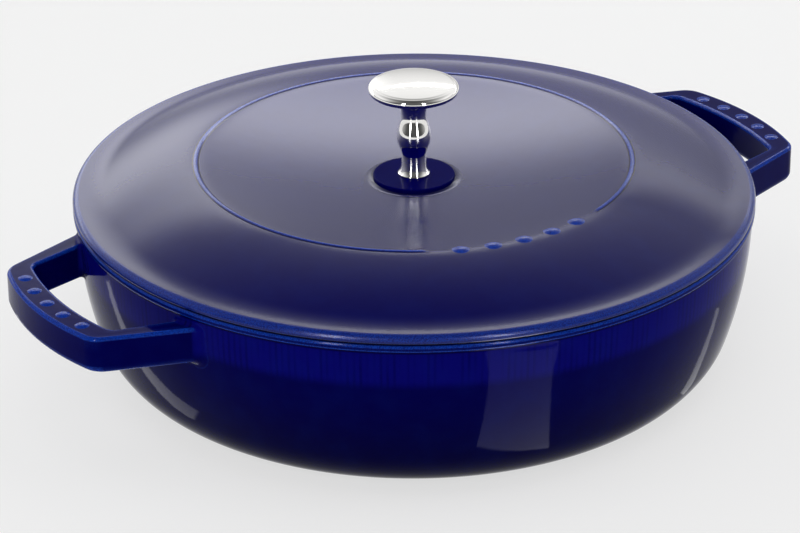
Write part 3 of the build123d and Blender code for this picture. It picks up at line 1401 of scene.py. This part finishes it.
    def under(self) -> Run:
        """Half section of the matte side.

        Returns:
            Its points, from the flange's lower edge in to the bore.
        """
        inner = self.skirt_radius - self.skirt_thickness
        low = self.rest_z - self.skirt_depth
        crest = self.under_crest()
        dome = self.dome(crest, inner, self.thickness)[::-1]
        dish = self.dish(self.pad_radius, crest, self.thickness)[::-1]
        pad_z = self.crest_z - self.dish_depth - self.thickness - self.pad_proud
        edge = Vector((self.rim_radius - self.edge_gloss_width, self.rest_z))
        outline = Outline()
        outline.add(line(edge, Vector((self.skirt_radius, self.rest_z))))
        outline.to(self.skirt_radius, low, self.skirt_round)
        outline.to(inner, low, self.skirt_round)
        outline.to(inner, dome[0].y, self.skirt_round)
        outline.add(dome, self.skirt_round)
        outline.add(dish, self.crest_round)
        outline.to(self.pad_radius, pad_z)
        outline.to(self.bore_radius, pad_z, self.pad_round)
        outline.to(self.bore_radius, self.boss()[0].y)
        return outline.points()

    def raise_ring(self, mesh: bmesh.types.BMesh) -> None:
        """Raises the ring on the crest, all round but for its gap, with round ends.

        Args:
            mesh: The mesh of the glossy side.
        """
        half_gap = self.ring_gap / 2
        for vert in mesh.verts:
            aside = vert.co.xy.length - self.ring_radius
            if abs(aside) > self.ring_half_width or vert.co.z < self.flange_z:
                continue
            turn = abs(math.atan2(vert.co.x, -vert.co.y) - self.turn)
            past = max(0.0, (half_gap - turn) * self.ring_radius)
            share = min(1.0, math.hypot(aside, past) / self.ring_half_width)
            vert.co.z += self.ring_height * (1 - share**2) ** self.ring_softness

    def add_studs(self, mesh: bmesh.types.BMesh, outline: Run) -> None:
        """Adds the row of plain studs that fills the ring's gap.

        Args:
            mesh: The lid's mesh.
            outline: Half section of the surface that they stand on.
        """
        studs = bmesh.new()
        for place in range(self.stud_count):
            aside = (place - (self.stud_count - 1) / 2) * self.stud_pitch
            turn = self.turn + aside / self.ring_radius
            spot = self.ring_radius * Vector((math.sin(turn), -math.cos(turn)))
            self.stud.add(studs, spot, lambda at: height_on(outline, at.length))
        merge(mesh, studs)

    def add_nubs(self, mesh: bmesh.types.BMesh, outline: Run) -> None:
        """Adds the drip nubs of the underside, on circles about the middle.

        Args:
            mesh: The lid's mesh.
            outline: Half section of the surface that they hang from.
        """
        nubs = bmesh.new()
        for circle in range(self.nub_circles):
            radius = self.first_nub_circle + circle * self.nub_pitch
            count = round(math.tau * radius / self.nub_pitch)
            for place in range(count):
                turn = math.tau * place / count
                spot = radius * Vector((math.cos(turn), math.sin(turn)))
                self.nub.add(nubs, spot, lambda at: height_on(outline, at.length))
        merge(mesh, nubs)

    def build(self, enamels: Sequence[bpy.types.Material]) -> None:
        """Models the lid, and shows it for its node.

        Args:
            enamels: Its materials, by coat.
        """
        top, under = self.top(), self.under()
        mesh = bmesh.new()
        turned(mesh, top, self.steps, Coat.GLOSSY)
        self.raise_ring(mesh)
        turned(mesh, self.boss(), self.steps, Coat.BOSS)
        turned(mesh, under, self.steps, Coat.MATTE)
        self.add_studs(mesh, self.rising(top))
        start, end = self.pad_radius + self.edge_margin, self.skirt_radius - self.skirt_thickness
        self.add_nubs(mesh, [point for point in under[::-1] if start < point.x < end])
        piece = finished("lid_casting", mesh, "lid", Slot.IRON, enamels)
        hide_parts("lid")


@dataclass
class Knob:
    """The knob, turned from bar: a waisted stem under a flat round head.

    The stem's stations are given as radius and height.
    """

    seat_z: float
    foot: Span = (6.7 * MM, 0.7 * MM)
    waist: Span = (5.1 * MM, 8.2 * MM)
    bulge: Span = (7.3 * MM, 17 * MM)
    neck: Span = (5.25 * MM, 27 * MM)
    flare: Span = (8 * MM, 34 * MM)
    foot_pull: float = 6 * MM
    flare_pull: float = 8 * MM
    foot_round: float = 0.3 * MM
    flare_round: float = 2 * MM
    head_radius: float = 18.75 * MM
    head_low: float = 36.2 * MM
    head_top: float = 40.2 * MM
    head_round: float = 1.5 * MM
    face_radius: float = 17.4 * MM
    height: float = 41.5 * MM
    bore_radius: float = 3.05 * MM
    bore_depth: float = 13 * MM
    steps: int = 128
    stem_steps: int = 14
    head_steps: int = 20

    def stem(self) -> Run:
        """The stem's flowing side, as a curve through its waist, bulge and neck.

        Returns:
            Its points, from the foot up.
        """
        stations = (self.foot, self.waist, self.bulge, self.neck, self.flare)
        knots = [Vector(pair) for pair in stations]
        slopes = [
            Vector((-1, 1)).normalized() * self.foot_pull,
            *(Vector((0, (end.y - start.y) / 2)) for start, end in zip(knots, knots[2:])),
            Vector((1, 1)).normalized() * self.flare_pull,
        ]
        points = [knots[0]]
        for place in range(len(knots) - 1):
            ends = slice(place, place + 2)
            for step in range(1, self.stem_steps + 1):
                points.append(hermite(knots[ends], slopes[ends], step / self.stem_steps))
        return points

    def outline(self) -> Run:
        """Half section of the whole knob.

        Returns:
            Its points, from the bore's bottom round the outside to the middle of the face.
        """
        rise = self.height - self.head_top
        ball = (self.face_radius**2 + rise**2) / (2 * rise)
        sweep = math.asin(self.face_radius / ball)
        half = (self.head_top - self.head_low) / 2
        edge = Vector((self.head_radius - half, (self.head_low + self.head_top) / 2))
        rim = arc(edge, half, -math.pi / 2, math.pi / 2, self.head_steps)
        crown = Vector((0, self.height - ball))
        face = arc(crown, ball, math.pi / 2 - sweep, math.pi / 2, self.head_steps)
        outline = Outline()
        outline.add(line(Vector((0, self.bore_depth)), Vector((self.bore_radius, self.bore_depth))))
        outline.to(self.bore_radius, 0)
        outline.to(self.foot[0], 0)
        outline.to(*self.foot, self.foot_round)
        outline.add(self.stem(), self.foot_round)
        outline.to(edge.x, edge.y - half, self.flare_round)
        outline.add(rim, self.head_round)
        outline.add(face)
        return [Vector((point.x, point.y + self.seat_z)) for point in outline.points()]

    def build(self, metal: bpy.types.Material) -> None:
        """Models the knob, and shows it for its node.

        Args:
            metal: Its material.
        """
        mesh = bmesh.new()
        turned(mesh, self.outline(), self.steps, Coat.GLOSSY)
        piece = finished("knob_turned", mesh, "lid", Slot.NICKEL, [metal])
        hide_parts("knob")


@dataclass(frozen=True)
class Softbox:
    """A rectangular lamp whose face is brighter at one end and fades towards its edges.

    Its two directions are square to each other, and it shines away from across x along. A fade is
    a share of the face, and a taper is the width at its start as a share of that at its end.
    """

    name: str
    centre: Vector
    across: Vector
    along: Vector
    width: float
    length: float
    near: float
    far: float
    side_gain: float = 1.0
    side_fade: float = 0.5
    near_fade: float = 0.5
    far_fade: float = 0.5
    taper: float = 1.0
    both_sides: bool = False
    diffuse: bool = True
    glossy: bool = True

    def build(self) -> None:
        """Hangs the lamp, out of the camera's sight."""
        lamp = bpy.data.lights.new(self.name, "AREA")
        lamp.shape = "RECTANGLE"
        lamp.size, lamp.size_y = self.width, self.length
        lamp.energy = math.pi * self.width * self.length
        lamp.use_nodes = True
        self.shade(Nodes(lamp.node_tree))
        for side in (1, -1) if self.both_sides else (1,):
            holder = bpy.data.objects.new(self.name, lamp)
            bpy.context.scene.collection.objects.link(holder)
            axes = (self.across * side, self.along, self.across.cross(self.along) * side)
            turn = Matrix(axes).transposed().to_4x4()
            turn.translation = self.centre
            holder.matrix_world = turn
            holder.visible_camera = False
            holder.visible_diffuse = self.diffuse
            holder.visible_glossy = self.glossy

    def shade(self, nodes: Nodes) -> None:
        """Gives the lamp's face its gradients.

        Args:
            nodes: The lamp's nodes.
        """
        emission = next(node for node in nodes.tree.nodes if node.type == "EMISSION")
        spot = nodes.node("NewGeometry").outputs["Position"]
        aside = self.share(nodes, spot, self.across, self.width)
        deep = self.share(nodes, spot, self.along, self.length)
        if self.taper < 1.0:
            spread = nodes.ramp(deep, (0.0, 1.0), (1.0 / self.taper, 1.0), Ease.STRAIGHT)
            from_middle = nodes.math("SUBTRACT", aside, 0.5)
            aside = nodes.math("MULTIPLY_ADD", from_middle, spread, 0.5)
        parts = (
            nodes.ramp(aside, (0.0, self.side_fade / 2)),
            nodes.ramp(aside, (1.0, 1.0 - self.side_fade / 2)),
            nodes.ramp(deep, (0.0, self.near_fade)),
            nodes.ramp(deep, (1.0, 1.0 - self.far_fade)),
            nodes.ramp(deep, (0.0, 1.0), (self.near, self.far)),
            nodes.ramp(aside, (0.0, 1.0), (1.0, self.side_gain)),
        )
        product = parts[0]
        for part in parts[1:]:
            product = nodes.math("MULTIPLY", product, part)
        nodes.feed(emission.inputs["Strength"], product)

    def share(
        self, nodes: Nodes, spot: bpy.types.NodeSocket, axis: Vector, extent: float
    ) -> bpy.types.NodeSocket:
        """Place along one direction of the face.

        Args:
            nodes: The lamp's nodes.
            spot: The place on the face.
            axis: The direction.
            extent: Length of the face along it.

        Returns:
            A value from 0 at the face's start to 1 at its end.
        """
        middle = self.centre.dot(axis)
        source = (middle - extent / 2, middle + extent / 2)
        return nodes.ramp(nodes.dot(spot, axis), source, ease=Ease.STRAIGHT)


@dataclass
class Studio:
    """The camera, the pale floor, the soft lamps and the plain surround.

    The camera's turn, elevation and distance are about the point that it aims at. The surround is
    brightest in a level band, and dimmed on the camera's side of the set.
    """

    lens_mm: float = 154.13
    sensor_mm: float = 36.0
    distance: float = 1.445518
    elevation: float = math.radians(25.973)
    turn: float = math.radians(31.77)
    roll: float = math.radians(-0.378)
    aim_right: float = -6.054 * MM
    aim_height: float = 38.27 * MM
    floor_size: float = 16.0
    floor_cells: int = 4
    floor_colour: Colour = (0.95, 0.95, 0.95, 1.0)
    floor_roughness: float = 0.9
    floor_gloss: float = 0.2
    floor_glow: float = 0.65
    card_height: float = 2 * MM
    card_side_fade: float = 0.04
    card_end_fade: float = 0.02
    sky_low: float = 0.02
    sky_band: float = 0.98
    front_share: float = 0.1
    front_fade: Span = (-0.7, 0.1)
    band_elevation: float = math.radians(28.8)
    band_width: float = math.radians(30.0)

    @property
    def right(self) -> Vector:
        """Level direction to the picture's right."""
        return Vector((math.cos(self.turn), -math.sin(self.turn), 0))

    @property
    def ahead(self) -> Vector:
        """Level direction away from the camera."""
        return Vector((math.sin(self.turn), math.cos(self.turn), 0))

    def way(self, right: float, ahead: float, height: float) -> Vector:
        """A place or direction as the camera sees the set: to the right, further away and up."""
        return self.right * right + self.ahead * ahead + Vector((0, 0, height))

    def place_camera(self) -> None:
        """Places the camera where the photograph was taken from."""
        data = bpy.data.cameras.new("camera")
        data.lens, data.sensor_width = self.lens_mm, self.sensor_mm
        camera = bpy.data.objects.new("camera", data)
        bpy.context.scene.collection.objects.link(camera)
        up_axis = Vector((0, 0, 1))
        back = -self.ahead * math.cos(self.elevation) + up_axis * math.sin(self.elevation)
        up = self.ahead * math.sin(self.elevation) + up_axis * math.cos(self.elevation)
        right = self.right * math.cos(self.roll) + up * math.sin(self.roll)
        up = up * math.cos(self.roll) - self.right * math.sin(self.roll)
        target = self.right * self.aim_right + up_axis * self.aim_height
        frame = Matrix((right, up, back)).transposed().to_4x4()
        frame.translation = target + back * self.distance
        camera.matrix_world = frame
        bpy.context.scene.camera = camera

    def lay_floor(self) -> None:
        """Lays the pale floor that the pan stands on."""
        mesh = bmesh.new()
        cells = {"x_segments": self.floor_cells, "y_segments": self.floor_cells}
        bmesh.ops.create_grid(mesh, size=self.floor_size / 2, **cells)
        data = bpy.data.meshes.new("floor")
        mesh.to_mesh(data)
        mesh.free()
        floor = bpy.data.objects.new("floor", data)
        bpy.context.scene.collection.objects.link(floor)
        shader = Shader("pale_floor")
        shader.finish(
            Base_Color=self.floor_colour,
            Roughness=self.floor_roughness,
            Specular_IOR_Level=self.floor_gloss,
        )
        rays = shader.node("LightPath").outputs
        seen = shader.math("ADD", rays["Is Camera Ray"], rays["Is Glossy Ray"])
        seen = shader.math("ADD", seen, rays["Is Transmission Ray"])
        seen = shader.math("MINIMUM", seen, self.floor_glow)
        glow = shader.node("Emission", {"Color": WHITE, "Strength": 1.0})
        sides = {0: seen, 1: shader.surface.outputs[0], 2: glow.outputs[0]}
        mixed = shader.node("MixShader", sides)
        shader.feed(shader.tree.nodes["Material Output"].inputs["Surface"], mixed.outputs[0])
        data.materials.append(shader.material)

    def panel(
        self,
        name: str,
        centre: Place,
        yaw: float,
        tilt: float,
        size: Span,
        glow: Span,
        **looks: float | bool,
    ) -> Softbox:
        """A softbox over or behind the set, facing down and towards the camera.

        Args:
            name: Its name.
            centre: Its middle, as the camera sees the set.
            yaw: Turn to the right, in radians.
            tilt: How far its far edge is raised, in radians.
            size: Width and depth.
            glow: Brightness of its near and of its far edge.
            looks: Its other shading values.

        Returns:
            The softbox.
        """
        across = self.way(math.cos(yaw), -math.sin(yaw), 0)
        level = self.way(math.sin(yaw), math.cos(yaw), 0)
        along = level * math.cos(tilt) + Vector((0, 0, math.sin(tilt)))
        return Softbox(name, self.way(*centre), across, along, *size, *glow, **looks)

    def card(
        self, name: str, start: Span, end: Span, width: float, glow: float, taper: float = 1.0
    ) -> Softbox:
        """A strip of light just above the floor, facing up, that shows only in the wall's gloss.

        Args:
            name: Its name.
            start: Where it begins, to the right and ahead.
            end: Where it ends.
            width: Its width there.
            glow: Its brightness.
            taper: Its width at the start, as a share of that at the end.

        Returns:
            The strip.
        """
        first, last = (self.way(*place, self.card_height) for place in (start, end))
        along = (last - first).normalized()
        across = along.cross(Vector((0, 0, -1)))
        return Softbox(
            name,
            centre=(first + last) / 2,
            across=across,
            along=along,
            width=width,
            length=(last - first).length,
            near=glow,
            far=glow,
            side_fade=self.card_side_fade,
            near_fade=self.card_end_fade,
            far_fade=self.card_end_fade,
            taper=taper,
            diffuse=False,
        )

    def aimed(
        self, name: str, place: Place, size: Span, glow: float, **looks: float | bool
    ) -> Softbox:
        """A lamp aimed at the set.

        Args:
            name: Its name.
            place: Its middle, as the camera sees the set.
            size: Width and height.
            glow: Its brightness.
            looks: Its other shading values.

        Returns:
            The lamp.
        """
        centre = self.way(*place)
        back = centre.normalized()
        across = Vector((0, 0, 1)).cross(back).normalized()
        return Softbox(name, centre, across, back.cross(across), *size, glow, glow, **looks)

    def light(self) -> None:
        """Hangs the lamps: softboxes for the gloss, fills for the colour, and strips and cards."""
        shine = {"both_sides": True, "diffuse": False, "near_fade": 0.3}
        soft = {"side_fade": 0.2, "near_fade": 0.2, "far_fade": 0.2}
        fill = {"glossy": False, **soft}
        strip = {"size": (0.13, 0.92), "glow": 22.0, "diffuse": False, **soft}
        lamps = (
            self.panel(
                "wall_softbox",
                centre=(-0.355, 0.304, 0.198),
                yaw=0.10,
                tilt=1.22,
                size=(0.674, 0.226),
                glow=(4.1, 2.6),
                side_fade=0.4,
                far_fade=0.33,
                side_gain=0.79,
                **shine,
            ),
            self.panel(
                "top_softbox",
                centre=(0.319, 0.618, 0.402),
                yaw=-0.24,
                tilt=0.49,
                size=(1.946, 1.174),
                glow=(12.8, 13.2),
                side_fade=0.73,
                far_fade=1.0,
                side_gain=0.95,
                **shine,
            ),
            self.aimed("top_fill", place=(0.2, -0.3, 2.6), size=(2.4, 2.4), glow=1.0, **fill),
            self.aimed("front_fill", place=(-0.4, -1.8, 1.1), size=(1.8, 1.4), glow=1.6, **fill),
            self.aimed("left_strip", place=(-0.50, -1.05, 0.46), **strip),
            self.aimed("right_strip", place=(0.50, -1.05, 0.46), **strip),
            self.card(
                "front_card", (0.0445, -0.1335), (0.111, -0.2315), width=0.088, glow=7.6, taper=0.42
            ),
            self.card("right_card", (0.118, -0.063), (0.185, -0.012), width=0.006, glow=1.8),
            self.card("left_card", (-0.104, -0.097), (-0.222, 0.010), width=0.008, glow=3.4),
        )
        for lamp in lamps:
            lamp.build()

    def surround(self) -> None:
        """Sets the plain surround, brightest in a band above the horizon, behind the set."""
        world = bpy.data.worlds.new("surround")
        bpy.context.scene.world = world
        world.use_nodes = True
        nodes = Nodes(world.node_tree)
        ways = nodes.node("TexCoord").outputs["Generated"]
        elevation = nodes.math("ARCSINE", nodes.split(ways)[2])
        rise = nodes.math("DIVIDE", elevation, self.band_width)
        rise = nodes.math("SUBTRACT", rise, self.band_elevation / self.band_width)
        fall = nodes.math("MULTIPLY", rise, nodes.math("MULTIPLY", rise, -1.0))
        bell = nodes.math("POWER", math.e, fall)
        side = nodes.ramp(nodes.dot(ways, self.ahead), self.front_fade, (self.front_share, 1.0))
        bell = nodes.math("MULTIPLY", bell, side)
        strength = nodes.math("MULTIPLY_ADD", bell, self.sky_band, self.sky_low)
        background = nodes.tree.nodes["Background"]
        nodes.feed(background.inputs["Color"], WHITE)
        nodes.feed(background.inputs["Strength"], strength)

    def build(self) -> None:
        """Sets up camera, floor and light."""
        self.place_camera()
        self.lay_floor()
        self.light()
        self.surround()
        bpy.context.scene.view_settings.view_transform = "Standard"
        log.info("studio: camera, floor and lamps are in place")


def main() -> None:
    """Builds every piece around the frame and sets up the picture."""
    logging.basicConfig(level=logging.INFO, format="%(name)s: %(message)s")
    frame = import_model()
    pan_glaze = GlossyEnamel("pan_enamel", painted_light_band=True)
    lid_glaze = replace(
        pan_glaze,
        name="lid_enamel",
        painted_light_band=False,
        index=1.32,
        roughness=0.25,
        sheen_tint=(0.85, 0.85, 0.92, 1.0),
        deep=(0.0006, 0.0001, 0.098, 1.0),
    )
    # A shaded copy of the lid's glaze for the boss. It reflects almost nothing, as painted shade
    # under the knob's head.
    shaded_boss_glaze = replace(
        lid_glaze, name="shaded_boss_enamel", index=1.05, roughness=0.1, thin_edges=False
    )
    matte = MatteEnamel().material()
    nickel = TurnedMetal(
        "polished_nickel", colour=(0.90, 0.89, 0.87, 1.0), roughness=0.05, ring_depth=0.002 * MM
    ).material()
    steel = TurnedMetal(
        "turned_steel", colour=(0.60, 0.60, 0.59, 1.0), roughness=0.26, ring_depth=0.012 * MM
    ).material()
    pan_enamel, lid_enamel = pan_glaze.material(), lid_glaze.material()
    Pan().build(Handle(), [pan_enamel, matte, pan_enamel])
    lid = Lid()
    lid.build([lid_enamel, matte, lid_enamel, shaded_boss_glaze.material()])
    Knob(seat_z=lid.boss()[0].y).build(nickel)
    for name in ("knob_screw", "lock_washer", "flat_washer"):
        materials = frame["nodes"][name].data.materials
        materials.clear()
        materials.append(steel)
        log.info("%s: kept from the frame, in turned steel", name)
    Studio().build()


if __name__ == "__main__":
    main()
